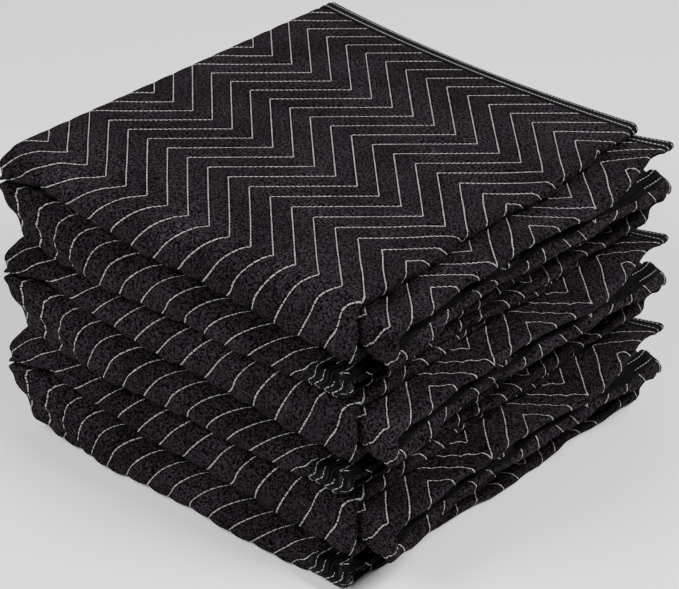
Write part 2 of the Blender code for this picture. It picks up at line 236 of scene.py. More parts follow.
# ---- How slack cloth departs from the even fold ----
# A pair is the stretch over which something sets in, in x, in y or as shares of the pad's height.
# Waves: length, turns over the pad's height, phase, size.
LIP_WAVES_OUT = ((0.190, 2.1, 0.5, 0.0028), (0.083, 3.7, 1.9, 0.0015), (0.041, 2.0, 0.4, 0.0006))
LIP_WAVES_UP = ((0.230, 0.3, 1.0, 0.0024), (0.107, 1.3, 2.0, 0.0013))
ROLL_WAVES_OUT = ((0.210, 1.2, 0.4, 0.0020), (0.090, 2.3, 1.1, 0.0010))
ROLL_WAVES_UP = ((0.170, 0.7, 2.2, 0.0016),)
CRUMPLES = ((0.110, 4.6, 0.3, 0.0020), (0.050, -3.1, 1.2, 0.0012), (0.027, 7.0, 2.0, 0.0008))
CRUMPLE_REACH = 0.15        # how far they run from the wrapped fold
LIPS_X = (0.37, 0.45)       # where the lips' slack sets in
ROLLS_Y = (-0.19, -0.27)    # where the rolls' slack does
FRONT_Y = (-0.10, -0.26)    # and where the rolls begin to lean on each other

# Long fine folds in the layers that hang past the lips.
RIDGE = 0.0011
RIDGE_SPACING = 0.0125
RIDGE_DRIFT = 0.33          # length in which they drift by one
RIDGE_TURNS = 2.4           # spacings they drift over the pad's height
RIDGE_WANDER = 1.4          # how far they wander, as an angle
RIDGE_WANDER_LENGTH = 0.037
RIDGE_X = (0.436, 0.456)
RIDGE_BOTTOM = (0.15, 0.35)
RIDGE_TOP = (0.88, 0.73)

# The crease between the rolls.
CREASE_Z = LAYERS / 2 * PLY_PITCH
CREASE_GAP = 0.0012         # half the gap in which a point goes from one roll to the other
CREASE = 0.55               # where it climbs most, as a share of the pad's height
CREASE_RISE = 0.015         # how it climbs at the wrapped end
CREASE_FALL = 0.026         # and falls at the lips
CREASE_END = 1.1            # where it stops falling, in ply runs
CREASE_LIFT = 0.004         # how far it is lifted all along
PINCH = 0.012               # how much further it climbs near the wrapped end
PINCH_REACH = 0.115
FOLD_CLIMB = 0.4            # share of the climb that is left at the wrapped fold itself
FOLD_X = (-0.015, 0.035)

# The rolls at their wrapped end.
CLOSING = 0.022             # how far they fill out towards each other
CLOSING_REACH = 0.050
CLOSING_HEIGHT = 0.020
CLOSING_POWER = 2.5
END_CLOSING = 0.75          # share of it that they fill out sideways
END_CLOSING_POWER = 2
TUCK = 0.027                # how far the lower roll's end is pushed in
TUCK_REACH = 0.18
TUCK_SHARE = (0.54, 0.18)

# The rolls' weight.
SAG = 0.008                 # each roll's underside sags out by this at its lowest line
SAG_HEIGHT = 0.024
OPENING = 0.009             # how far the lower roll sinks away from the crease
SLUMP = 0.009               # the top's front edge sinks by this, but not at its ends
SLUMP_Y = (-0.19, -0.25)
SLUMP_WRAP_X = (0.02, 0.10)
SLUMP_LIP_X = (0.43, 0.27)
SET_IN = 0.007              # the lower roll sits this far behind its place in the even fold
SET_IN_END = 0.013          # and this far at its wrapped end
SET_IN_X = (0.03, 0.15)
LIPS_IN = 0.013             # its lips are drawn in at the front
LIPS_IN_Y = (-0.02, -0.17)
LIPS_IN_SHARE = (0.5, 0.1)


def waves(rows, along, share):
    """The sum of a table's waves at a place along them and a share of the height."""
    return sum(size * np.sin(2 * math.pi * (along / length + turns * share) + phase)
               for length, turns, phase, size in rows)


def ridges(x, y, share):
    """The fine folds past the lips, from -1 to 1."""
    hanging = rise(x, *RIDGE_X) * rise(share, *RIDGE_BOTTOM) * rise(share, *RIDGE_TOP)
    phase = 2 * math.pi * (x / RIDGE_SPACING + y / RIDGE_DRIFT + RIDGE_TURNS * share)
    return hanging * np.sin(phase + RIDGE_WANDER * np.sin(y / RIDGE_WANDER_LENGTH))


def crease_climb(x, share):
    """Rise of the crease over the even fold's, fading towards the pad's top and underside."""
    fade = np.where(share < CREASE, share / CREASE, (1 - share) / (1 - CREASE))
    climb = CREASE_RISE - (CREASE_RISE + CREASE_FALL) * np.clip(x / PLY_RUN, 0, CREASE_END)
    climb = climb + PINCH * (1 - rise(x, 0.0, PINCH_REACH))
    climb = climb * (FOLD_CLIMB + (1 - FOLD_CLIMB) * rise(x, *FOLD_X))
    return fade * (climb + CREASE_LIFT)


def relaxed(x, y, z):
    """A point of the settled pad where the slack of the cloth leaves it."""
    share = np.clip(z / PAD_HEIGHT, 0, 1)
    over_crease = z - CREASE_Z
    is_upper = rise(over_crease, -CREASE_GAP, CREASE_GAP)
    lip, roll, front = rise(x, *LIPS_X), rise(y, *ROLLS_Y), rise(y, *FRONT_Y)
    at_end = 1 - rise(x, 0.0, CLOSING_REACH)

    # The lips and the rolls wave, the lower lips are drawn in, and the rolls' ends are crumpled.
    drawn_in = LIPS_IN * rise(y, *LIPS_IN_Y) * rise(share, *LIPS_IN_SHARE)
    crumpled = 1 - rise(x, 0.0, CRUMPLE_REACH)
    belly = 4 * share * (1 - share)
    dx = lip * (waves(LIP_WAVES_OUT, y, share) - drawn_in)
    dy = roll * (waves(ROLL_WAVES_OUT, x, share) + crumpled * waves(CRUMPLES, x, share))
    dz = belly * (lip * waves(LIP_WAVES_UP, y, share) + roll * waves(ROLL_WAVES_UP, x, share))
    dz = dz + RIDGE * ridges(x, y, share)

    # The rolls close on each other at the wrapped end and sag, and the lower one sits further back.
    near_crease = 1 - np.clip(np.abs(over_crease) / CLOSING_HEIGHT, 0, 1)
    closing = CLOSING * at_end * near_crease ** CLOSING_POWER
    end_closing = END_CLOSING * CLOSING * at_end * near_crease ** END_CLOSING_POWER
    tuck = TUCK * (1 - rise(x, 0.0, TUCK_REACH)) * rise(share, *TUCK_SHARE)
    over_roll = np.where(over_crease > 0, over_crease, z)
    sag = SAG * (1 - at_end) * np.clip(1 - over_roll / SAG_HEIGHT, 0, 1) ** 2
    set_in = (SET_IN_END + (SET_IN - SET_IN_END) * rise(x, *SET_IN_X)) * (1 - is_upper)
    dx = dx + front * (tuck - end_closing)
    dy = dy - front * (closing + sag - set_in)

    # The crease climbs and falls, the front edge of the top slumps and the lower roll sinks.
    slump = SLUMP * rise(y, *SLUMP_Y) * rise(x, *SLUMP_WRAP_X) * rise(x, *SLUMP_LIP_X) * is_upper
    opening = OPENING * front * (1 - at_end) * (1 - is_upper)
    dz = dz + front * crease_climb(x, share)
    dz = dz - slump * np.clip(over_crease / (PAD_HEIGHT - CREASE_Z), 0, 1)
    dz = dz - opening * np.clip(z / CREASE_Z, 0, 1) ** 2
    return x + dx, y + dy, z + dz


def place(s, segment, d, height):
    """Folded places of the points (s, d in a segment), height off the cloth's middle."""
    y, z, face_y, face_z = lengthwise(s)
    x, level, normal_x, normal_level = crosswise(s, segment, d)
    level = level + height * normal_level
    x = x + height * normal_x
    past = np.where(segment == FREE, np.clip(x - PLY_RUN, 0, None), 0.0)
    lean = FLAP_SKEW * past * np.clip(1 - s / FLAP_REACH, 0, None)
    px, py = settled(x, y + face_y * level + lean, s)
    pz = z + face_z * level - overhang_at(s)[1] * past
    px, py, pz = relaxed(px, py, pz)
    return np.stack((px, py, pz), -1)


# ---- Quilting: lines of chevrons along the blanket ----
CHEVRON_RUN = 0.0767        # length of one arm of a chevron along the blanket
CHEVRON_RISE = 0.080        # how far an arm climbs across the blanket
LINE_SPACING = 0.0303       # from one quilting line to the next, across the blanket
CHEVRON_PHASE = 0.003       # first peak, from the blanket's end
LINE_PHASE = 0.0248         # first line, from the wrapped fold
QUILT_SLIP = 0.026          # the quilting's drift by the time it reaches the lower roll
VALLEY = 0.0016             # depth of a sewn line
PUFF_POWER = 2.3            # how tight the cloth is drawn to the sewn line
FOLD_RELIEF = 0.4           # share of the relief that is left on the wrapped fold
FOLD_RELIEF_REACH = 0.025   # where the relief is whole again
COVERED_RELIEF = 0.3        # share of the sewn lines' depth that is left where nothing shows
COVERED_TO = 0.02           # the free ply is covered up to this far short of the lip


def quilt_place(s, segment, d):
    """Distances along and across the cloth as the quilting has them."""
    x = np.clip(crosswise(s, segment, d)[0], 0, PLY_RUN)
    top_s = np.clip(s, 0, PANEL)
    top_y = TOP_END_Y - top_s
    new_x, new_y = settled(x, top_y, top_s)
    slip = QUILT_SLIP * rise(s, RUN_STARTS[BOTTOM_PANEL], RUN_STARTS[LOWER_ROLL])
    return s + (top_y - new_y) + slip, SEGMENT_STARTS[segment] + d + (new_x - x)


def chevron(s):
    """How far across the blanket a quilting line has climbed at distances s."""
    phase = (s - CHEVRON_PHASE) / CHEVRON_RUN
    return CHEVRON_RISE * np.abs(phase - 2 * np.floor(phase / 2) - 1)


def from_line(s, across):
    """How far a point is from the nearest sewn line: 0 on it, 1 half way to the next."""
    line = (across - FACE_START - LINE_PHASE - chevron(s)) / LINE_SPACING
    return 2 * np.abs(line - np.round(line))


def cloth_height(s, segment, d, edge, is_face):
    """Height of the cloth's surface off its middle."""
    flat = rise(edge, TAPE_WIDTH, SHOULDER)
    half = EDGE_CLOTH / 2 + flat * (CLOTH - EDGE_CLOTH) / 2
    if not is_face:
        return -half
    puff = (VALLEY + PUFF) * (1 - (1 - from_line(*quilt_place(s, segment, d))) ** PUFF_POWER) - VALLEY
    is_segment = [segment == number for number in (WRAP, FACE, BACK)]
    off_fold = np.select(is_segment, (np.zeros_like(d), d, BACK_PLY - d), 1.0)
    puff = puff * (FOLD_RELIEF + (1 - FOLD_RELIEF) * rise(off_fold, 0.0, FOLD_RELIEF_REACH))
    in_fold = (segment == INNER) | (segment == TURN)
    covered = (segment == FREE) & ((d < PLY_RUN - COVERED_TO) | (d > free_edge(s) - TAPE_WIDTH))
    puff = np.where(in_fold | covered, np.minimum(puff, 0) * COVERED_RELIEF, puff)
    underside = (segment == BACK) & (run_of(s)[0] == BOTTOM_PANEL)
    puff = np.where(underside, np.minimum(puff - PUFF, 0), puff)
    return half + flat * puff


# ---- Lines of the mesh ----
# Steps along the blanket (S), one for each run, and across it (D), one for each segment.
FINE_S = (0.00384, 0.0019, 0.012, 0.0032, 0.020, 0.0019, 0.020)
HIDDEN_TOP_S = (0.012,) + FINE_S[1:]    # where a pad lies on the top panel
COARSE_S = (0.020, 0.0060, 0.020, 0.0060, 0.020, 0.0060, 0.020)
FINE_D = (0.0048, 0.0024, 0.00384, 0.0014, 0.040, 0.0019, 0.040)
COARSE_D = (0.030, 0.0043, 0.030, 0.0020, 0.030, 0.0020, 0.030)
# The free ply's stretches, by number, and how many lines each of the last three has.
INSIDE, HANGING, BEND, TAIL = range(4)
FINE_OVERHANG = (16, 12, 8)
COARSE_OVERHANG = (5, 8, 4)
OVERHANG_FROM = PLY_RUN - 0.032


def spaced(start, end, step):
    """Even places from start up to, but not at, end."""
    count = max(1, round((end - start) / step))
    return start + (end - start) * np.arange(count) / count


def long_rows(steps):
    """Distances along the blanket; steps has one size for each run."""
    rows = [spaced(start, start + length, step)
            for start, length, step in zip(RUN_STARTS, RUN_LENGTHS, steps)]
    return np.concatenate(rows + [[BLANKET_LENGTH]])


def cross_columns(steps, overhang_lines):
    """Lines along the blanket: segment, stretch, and the distance inside it or the stretch's share."""
    columns = []
    lengths = (BACK_PLY, OUTER_WRAP_ARC, PLY_RUN, INNER_ARC, INNER_RUN, INNER_ARC)
    for segment, (length, step) in enumerate(zip(lengths, steps)):
        columns.extend((segment, INSIDE, value) for value in spaced(0.0, length, step))
    columns.extend((FREE, INSIDE, value) for value in spaced(INNER_SET_IN, OVERHANG_FROM, steps[FREE]))
    for stretch, count in zip((HANGING, BEND, TAIL), overhang_lines):
        columns.extend((FREE, stretch, value / count) for value in range(count))
    columns.append((FREE, TAIL, 1.0))
    return columns


def column_distance(s, column):
    """How far into its segment a line along the blanket lies at distances s."""
    _segment, stretch, value = column
    if stretch == INSIDE:
        return np.full_like(s, value)
    bend_start = PLY_RUN + overhang_at(s)[0]
    bend_end = bend_start + INNER_ARC
    ends = {HANGING: (OVERHANG_FROM, bend_start), BEND: (bend_start, bend_end),
            TAIL: (bend_end, bend_end + TAPE_WIDTH)}
    start, end = ends[stretch]
    return start + value * (end - start)


def sheet_grid(rows, columns, is_face):
    """Points and quilt coordinates of one side of the sheet, rows by columns."""
    points, flat = [], []
    free_end = free_edge(rows)
    for column in columns:
        segment = np.full(len(rows), column[0])
        d = column_distance(rows, column)
        edge = np.minimum(rows, BLANKET_LENGTH - rows)
        if column[0] == BACK:
            edge = np.minimum(edge, d)
        if column[0] == FREE:
            edge = np.minimum(edge, free_end - d)
        height = cloth_height(rows, segment, d, edge, is_face)
        points.append(place(rows, segment, d, height))
        flat.append(np.stack(quilt_place(rows, segment, d), -1))
    return np.stack(points, 1), np.stack(flat, 1)


def grid_faces(rows, columns, first, is_flipped):
    """Quads of a grid whose points are numbered from first."""
    index = first + np.arange(rows * columns).reshape(rows, columns)
    quads = np.stack((index[:-1, :-1], index[1:, :-1], index[1:, 1:], index[:-1, 1:]), -1)
    quads = quads.reshape(-1, 4)
    return quads[:, ::-1] if is_flipped else quads


def border(rows, columns, first):
    """Point numbers once round a grid."""
    index = first + np.arange(rows * columns).reshape(rows, columns)
    return np.concatenate((index[:-1, 0], index[-1, :-1], index[:0:-1, -1], index[0, :0:-1]))


def zip_borders(points, fine, coarse):
    """Triangles between two closed borders that start and run together."""
    def shares(loop):
        ring = points[loop]
        steps = np.linalg.norm(np.roll(ring, -1, 0) - ring, axis=1)
        return np.concatenate(([0], np.cumsum(steps))) / steps.sum()
    a, b = shares(fine), shares(coarse)
    i = j = 0
    triangles = []
    while i < len(fine) or j < len(coarse):
        here, there = fine[i % len(fine)], coarse[j % len(coarse)]
        if j >= len(coarse) or (i < len(fine) and a[i + 1] <= b[j + 1]):
            triangles.append((here, there, fine[(i + 1) % len(fine)]))
            i += 1
        else:
            triangles.append((here, there, coarse[(j + 1) % len(coarse)]))
            j += 1
    return triangles


# ---- Cloth ----
def make_piece(name, points, faces, flat, material, offset, spread):
    """A smooth mesh piece from arrays, with flat-cloth distances as its UV map."""
    points = points * np.array((spread, spread, 1.0)) + np.array(offset)
    mesh = bpy.data.meshes.new(name)
    loops = np.concatenate([block.ravel() for block in faces])
    sizes = np.concatenate([np.full(len(block), block.shape[1]) for block in faces])
    mesh.vertices.add(len(points))
    mesh.vertices.foreach_set("co", points.astype(np.float32).ravel())
    mesh.loops.add(len(loops))
    mesh.loops.foreach_set("vertex_index", loops.astype(np.int32))
    mesh.polygons.add(len(sizes))
    starts = np.concatenate(([0], np.cumsum(sizes)[:-1]))
    mesh.polygons.foreach_set("loop_start", starts.astype(np.int32))
    mesh.update(calc_edges=True)
    layer = mesh.uv_layers.new(name="flat")
    layer.data.foreach_set("uv", flat[loops].astype(np.float32).ravel())
    mesh.polygons.foreach_set("use_smooth", np.ones(len(sizes), dtype=bool))
    mesh.validate()
    mesh.materials.append(material)
    item = bpy.data.objects.new(name, mesh)
    bpy.context.scene.collection.objects.link(item)
    return item


def cloth_mesh(long_steps):
    """The folded sheet: a fine face and a coarse back, joined round the edge."""
    rows, columns = long_rows(long_steps), cross_columns(FINE_D, FINE_OVERHANG)
    back_rows, back_columns = long_rows(COARSE_S), cross_columns(COARSE_D, COARSE_OVERHANG)
    face, face_flat = sheet_grid(rows, columns, True)
    back, back_flat = sheet_grid(back_rows, back_columns, False)
    points = np.concatenate((face.reshape(-1, 3), back.reshape(-1, 3)))
    flat = np.concatenate((face_flat.reshape(-1, 2), back_flat.reshape(-1, 2)))
    first = len(rows) * len(columns)
    quads = np.concatenate((
        grid_faces(len(rows), len(columns), 0, False),
        grid_faces(len(back_rows), len(back_columns), first, True),
    ))
    rim = zip_borders(points, border(len(rows), len(columns), 0),
                      border(len(back_rows), len(back_columns), first))
    return points, [quads, np.array(rim)], flat


# ---- Binding ----
TAPE_ROUNDING = 0.0002      # how far its section leaves a plain one
TAPE_HEM = 0.0012           # width of its thinner inner edge
TAPE_FULLEST = 0.004        # where it is fullest, from the blanket's edge
TAPE_BULGE = 0.0004         # how far its fold over the edge bulges out
TAPE_BULGE_SHARE = 0.6      # height at which the bulge begins


def tape_profile():
    """The tape's closed section: inset from the edge, height."""
    inner = EDGE_CLOTH / 2 + CLEARANCE
    outer = inner + TAPE
    over = -(CLEARANCE + TAPE)
    half = [(TAPE_WIDTH, outer - TAPE_ROUNDING), (TAPE_WIDTH - TAPE_HEM, outer),
            (TAPE_FULLEST, outer + TAPE_ROUNDING), (TAPE_ROUNDING, outer - TAPE_ROUNDING),
            (over, outer * TAPE_BULGE_SHARE), (over - TAPE_BULGE, 0.0)]
    lower = [(inset, -height) for inset, height in half[-2::-1]]
    inside = [(TAPE_WIDTH, -inner), (-CLEARANCE, -inner), (-CLEARANCE, inner), (TAPE_WIDTH, inner)]
    return half + lower + inside


def edge_stations():
    """Once round the blanket: kind of station, distance along it, segment or line along it."""
    rows = long_rows(HIDDEN_TOP_S)
    rows = rows[(rows >= TAPE_WIDTH) & (rows <= BLANKET_LENGTH - TAPE_WIDTH)]
    rows = np.concatenate(([TAPE_WIDTH], rows, [BLANKET_LENGTH - TAPE_WIDTH]))
    columns = cross_columns(FINE_D, FINE_OVERHANG)
    stations = [("corner", 0.0, BACK)]
    stations += [("side", s, BACK) for s in rows]
    stations += [("corner", BLANKET_LENGTH, BACK)]
    stations += [("end", BLANKET_LENGTH, column) for column in columns]
    stations += [("corner", BLANKET_LENGTH, FREE)]
    stations += [("side", s, FREE) for s in rows[::-1]]
    stations += [("corner", 0.0, FREE)]
    stations += [("end", 0.0, column) for column in columns[::-1]]
    return stations


def tape_mesh():
    """The tape round all four edges, its section mitred at the corners."""
    profile = np.array(tape_profile())
    inset, height = profile.T
    size = len(profile)
    rings, flat = [], []
    travelled = 0.0
    last = None
    for kind, along, across in edge_stations():
        if kind == "side":
            s = np.full(size, along)
        else:
            s = inset if along == 0.0 else along - inset
        free_end = free_edge(s)
        if kind == "end":
            segment = np.full(size, across[0])
            d = column_distance(s, across)
            if across[0] == BACK and across[2] < TAPE_WIDTH:
                continue
            if across[0] == FREE and np.any(d > free_end - TAPE_WIDTH):
                continue
        else:
            segment = np.full(size, across)
            d = free_end - inset if across == FREE else inset
        ring = place(s, segment, d, height)
        if last is not None:
            travelled += float(np.linalg.norm(ring.mean(0) - last))
        last = ring.mean(0)
        rings.append(ring)
        flat.append(np.stack((np.full(size, travelled), inset), -1))
    count = len(rings)
    index = np.arange(count * size).reshape(count, size)
    following = np.roll(index, -1, 0)
    quads = np.stack((index, following, np.roll(following, -1, 1), np.roll(index, -1, 1)), -1)
    return np.concatenate(rings), [quads.reshape(-1, 4)], np.concatenate(flat)


# ---- Thread ----
STITCHES_PER_ARM = 21       # of a chevron
THREAD_WIDTH = 0.00098
THREAD_HEIGHT = 0.0009
THREAD_SIDES_SHOWN = 5      # on the upper pad
THREAD_SIDES_HIDDEN = 4     # on the pads under it
TAPE_ROWS = (0.0045, 0.0145)    # the binding's two stitch rows, from the edge
TAPE_STITCH = 0.0044
# A stitch's four sections: place along it, lift off the cloth, girth.
STITCH_SHARES = np.array((0.06, 0.30, 0.70, 0.94))
STITCH_LIFTS = np.array((-0.00045, 0.00030, 0.00030, -0.00045))
STITCH_GIRTHS = np.array((0.45, 1.0, 1.0, 0.45))
THREAD_LIFT = 0.25          # how far its middle lies off the cloth, in its own heights
STITCH_PITCH = 0.006        # from stitch to stitch on the thread's own map
STITCH_LENGTH = 0.0052      # and a stitch's length there
NORMAL_STEP = 0.001         # step off the cloth that finds its outward direction
SETTLING_TURNS = 6          # turns that bring a stitch to its place on the flat cloth
SPARE_LINES = 2             # quilting lines tried past the blanket's edges
LONGEST_OVERHANG = 0.09     # more than the free ply's reach past the lip
RIM = 0.02                  # the rim of a covered face that still shows
TOP_END_RIM = 0.06          # the same at the top end
FLAP_RIM = 0.012            # and on the free ply, inside the lip


def flat_from_quilt(s, across):
    """Place on the cloth of a point given in the quilting's own distances."""
    guess_s, guess_d = s.copy(), across.copy()
    for _turn in range(SETTLING_TURNS):
        segment = segment_of(guess_d)
        there = quilt_place(guess_s, segment, guess_d - SEGMENT_STARTS[segment])
        guess_s, guess_d = guess_s + s - there[0], guess_d + across - there[1]
    segment = segment_of(guess_d)
    return guess_s, segment, guess_d - SEGMENT_STARTS[segment]


def is_outside(s, segment, d, shows_top):
    """Which stitches lie on surfaces that show."""
    run = run_of(s)[0]
    on_top = (segment == FACE) & (run <= UPPER_ROLL)
    if not shows_top:
        on_top &= ((run == UPPER_ROLL) | (s > PANEL - RIM) | (s < TOP_END_RIM)
                   | (d > PLY_RUN - RIM) | (d < RIM))
    wraps = (segment == WRAP) | (segment == LIP)
    hanging = (segment == FREE) & (d > PLY_RUN - FLAP_RIM)
    rolled = (segment == BACK) & ((run == SPINE) | (run == LOWER_ROLL))
    near = (segment == BACK) & (run == BOTTOM_PANEL) & (s > RUN_STARTS[LOWER_ROLL] - RIM)
    return on_top | wraps | hanging | rolled | near


def quilting_stitches(shows_top):
    """Ends and surface heights of the quilting stitches: s, segment, d at each station."""
    arms = np.arange(-SPARE_LINES, math.ceil(BLANKET_LENGTH / CHEVRON_RUN) + 1)
    lines = np.arange(-math.ceil((FACE_START + CHEVRON_RISE) / LINE_SPACING) - SPARE_LINES,
                      math.ceil((BLANKET_WIDTH - FACE_START) / LINE_SPACING) + SPARE_LINES + 1)
    arm, line, stitch, share = np.meshgrid(
        arms, lines, np.arange(STITCHES_PER_ARM), STITCH_SHARES, indexing="ij")
    s = CHEVRON_PHASE + (arm + (stitch + share) / STITCHES_PER_ARM) * CHEVRON_RUN
    across = FACE_START + LINE_PHASE + line * LINE_SPACING + chevron(s)
    s, across = s.reshape(-1, 4), across.reshape(-1, 4)
    inside = np.all((s > TAPE_WIDTH) & (s < BLANKET_LENGTH - TAPE_WIDTH) & (across > TAPE_WIDTH)
                    & (across < SEGMENT_STARTS[FREE] + PLY_RUN + LONGEST_OVERHANG), axis=1)
    s, across = s[inside], across[inside]
    shape = s.shape
    s, segment, d = flat_from_quilt(s.ravel(), across.ravel())
    keep = is_outside(s, segment, d, shows_top)
    keep &= (segment != FREE) | (d < free_edge(s) - TAPE_WIDTH)
    keep &= (segment != BACK) | (d > TAPE_WIDTH)
    keep &= (s > TAPE_WIDTH) & (s < BLANKET_LENGTH - TAPE_WIDTH)
    keep = keep.reshape(shape).all(axis=1)
    s, segment, d = (value.reshape(shape)[keep] for value in (s, segment, d))
    edge = np.minimum(s, BLANKET_LENGTH - s)
    edge = np.where(segment == BACK, np.minimum(edge, d), edge)
    free_end = free_edge(s.ravel()).reshape(s.shape)
    edge = np.where(segment == FREE, np.minimum(edge, free_end - d), edge)
    height = cloth_height(s.ravel(), segment.ravel(), d.ravel(), edge.ravel(), True)
    return s, segment, d, height.reshape(s.shape)


def tape_stitches():
    """Stitches of the binding's two rows on the stretches that show."""
    surface = EDGE_CLOTH / 2 + CLEARANCE + TAPE
    found = []
    span = (np.arange(math.floor(BLANKET_LENGTH / TAPE_STITCH))[:, None] + STITCH_SHARES) * TAPE_STITCH
    for inset in TAPE_ROWS:
        along = span[(span.min(1) > RUN_STARTS[SPINE] - RIM) & (span.max(1) < BLANKET_LENGTH - inset)]
        free = free_edge(along.ravel()).reshape(along.shape)
        found.append((along, np.full(along.shape, FREE), free - inset))
        found.append((along, np.full(along.shape, BACK), np.full(along.shape, inset)))
        reach = SEGMENT_STARTS[INNER] - SEGMENT_STARTS[WRAP]
        across = span[span.max(1) < reach] + SEGMENT_STARTS[WRAP]
        segment = segment_of(across)
        found.append((np.full(across.shape, inset), segment, across - SEGMENT_STARTS[segment]))
        flap = span[span.max(1) < free_edge(np.zeros(1))[0] - PLY_RUN - inset]
        found.append((np.full(flap.shape, inset), np.full(flap.shape, FREE), flap + PLY_RUN))
    s, segment, d = (np.concatenate([row[part] for row in found]) for part in range(3))
    return s, segment, d, np.full(s.shape, surface)


def thread_mesh(stitches, corners):
    """Every stitch as a short bead of thread that dips into the cloth at both ends."""
    s, segment, d, height = (np.concatenate([row[part] for row in stitches]) for part in range(4))
    count = len(s)
    lift = STITCH_LIFTS + THREAD_HEIGHT * THREAD_LIFT
    flat_args = (s.ravel(), segment.ravel(), d.ravel())
    centre = place(*flat_args, (height + lift).ravel()).reshape(count, 4, 3)
    above = place(*flat_args, (height + lift + NORMAL_STEP).ravel()).reshape(count, 4, 3)
    up = above - centre
    up /= np.linalg.norm(up, axis=-1, keepdims=True)
    ahead = (centre[:, -1] - centre[:, 0])[:, None, :]
    side = np.cross(ahead, up)
    side /= np.linalg.norm(side, axis=-1, keepdims=True)
    angles = 2 * math.pi * np.arange(corners) / corners
    girth = STITCH_GIRTHS[None, :, None, None]
    rings = (centre[:, :, None, :]
             + girth * 0.5 * THREAD_WIDTH * np.cos(angles)[None, None, :, None] * side[:, :, None, :]
             + girth * 0.5 * THREAD_HEIGHT * np.sin(angles)[None, None, :, None] * up[:, :, None, :])
    points = rings.reshape(-1, 3)
    stride = 4 * corners
    one = np.arange(stride).reshape(4, corners)
    sides = np.stack((one[:-1], one[1:], np.roll(one[1:], -1, 1), np.roll(one[:-1], -1, 1)), -1)
    sides = sides.reshape(-1, 4)
    caps = np.array((one[0], one[3, ::-1]))
    starts = (np.arange(count) * stride)[:, None, None]
    sides = (sides[None] + starts).reshape(-1, 4)
    caps = (caps[None] + starts).reshape(-1, corners)
    length = np.arange(count)[:, None, None] * STITCH_PITCH
    length = length + STITCH_SHARES[None, :, None] * STITCH_LENGTH
    flat = np.stack(np.broadcast_arrays(length, angles[None, None, :] * THREAD_WIDTH / 2), -1)
    return points, [sides, caps], flat.reshape(-1, 2)


# ---- Materials ----
class Shader:
    """A small helper to lay out a material's nodes."""

    def __init__(self, name):
        self.material = bpy.data.materials.new(name)
        self.material.use_nodes = True
        self.tree = self.material.node_tree
        self.principled = self.tree.nodes["Principled BSDF"]

    def node(self, kind, **settings):
        node = self.tree.nodes.new("ShaderNode" + kind)
        for key, value in settings.items():
            setattr(node, key, value)
        return node

    def wire(self, source, target):
        self.tree.links.new(source, target)

    def cloth_places(self):
        """The flat cloth's map, its two distances, and the place on the piece itself."""
        flat = self.node("UVMap", uv_map="flat").outputs[0]
        split = self.node("SeparateXYZ")
        self.wire(flat, split.inputs[0])
        solid = self.node("TexCoord").outputs["Object"]
        return flat, split.outputs[0], split.outputs[1], solid

    def stretched(self, place_socket, scale):
        """A place scaled by its own factor along each axis."""
        node = self.node("Mapping")
        self.wire(place_socket, node.inputs["Vector"])
        node.inputs["Scale"].default_value = scale
        return node.outputs[0]

    def maths(self, operation, a, b=None):
        node = self.node("Math", operation=operation)
        for socket, value in zip(node.inputs, (a, b)):
            if value is None:
                continue
            if isinstance(value, (int, float)):
                socket.default_value = value
            else:
                self.wire(value, socket)
        return node.outputs[0]

    def ramp(self, value, low, high, start=0.0, end=1.0):
        """Smoothly from start at low to end at high."""
        node = self.node("MapRange", interpolation_type="SMOOTHSTEP")
        self.wire(value, node.inputs["Value"])
        for key, number in (("From Min", low), ("From Max", high), ("To Min", start), ("To Max", end)):
            node.inputs[key].default_value = number
        return node.outputs[0]

    def noise(self, place_socket, scale, detail=3.0, roughness=0.55):
        node = self.node("TexNoise")
        self.wire(place_socket, node.inputs["Vector"])
        node.inputs["Scale"].default_value = scale
        node.inputs["Detail"].default_value = detail
        node.inputs["Roughness"].default_value = roughness
        return node.outputs["Fac"]

    def mix(self, factor, a, b):
        node = self.node("Mix", data_type="RGBA")
        self.wire(factor, node.inputs["Factor"])
        for name, value in (("A", a), ("B", b)):
            socket = [item for item in node.inputs if item.name == name and item.type == "RGBA"][0]
            if isinstance(value, tuple):
                socket.default_value = value
            else:
                self.wire(value, socket)
        return [item for item in node.outputs if item.type == "RGBA"][0]

    def bump(self, height, distance, strength=1.0, normal=None):
        node = self.node("Bump")
        node.inputs["Distance"].default_value = distance
        node.inputs["Strength"].default_value = strength
        self.wire(height, node.inputs["Height"])
        if normal is not None:
            self.wire(normal, node.inputs["Normal"])
        return node.outputs["Normal"]

    def waved(self, value, length):
        """A sine wave of the given length along a value."""
        return self.maths("SINE", self.maths("MULTIPLY", value, 2 * math.pi / length))

    def finish(self, colour, normal, roughness):
        self.wire(colour, self.principled.inputs["Base Color"])
        self.wire(normal, self.principled.inputs["Normal"])
        self.wire(roughness, self.principled.inputs["Roughness"])
        return self.material

    def steady(self, **values):
        """Sets values that are the same all over."""
        for key, value in values.items():
            self.principled.inputs[key.replace("_", " ")].default_value = value


CLOTH_DARK = (0.0006, 0.0004, 0.0006, 1.0)
CLOTH_LIGHT = (0.0290, 0.0222, 0.0276, 1.0)
CLOTH_FLECK = (0.060, 0.050, 0.057, 1.0)
TAPE_DARK = (0.0012, 0.0012, 0.0013, 1.0)
TAPE_LIGHT = (0.0120, 0.0112, 0.0120, 1.0)
TAPE_WORN = (0.018, 0.017, 0.018, 1.0)
THREAD_DARK = (0.15, 0.147, 0.145, 1.0)
THREAD_LIGHT = (0.29, 0.282, 0.28, 1.0)
YARN_PITCH = 0.0022         # of the cloth's plain weave
SEAM_WOBBLE = 0.0008        # how far a sewn line strays
SEAM_EDGE = (0.00035, 0.00075)  # where the material's own stitches fade, off the line's middle
RIB_PITCH = 0.0011          # of the tape
PLY_LENGTH, PLY_GIRTH = 0.0013, 0.0019   # the thread's twist along and round it


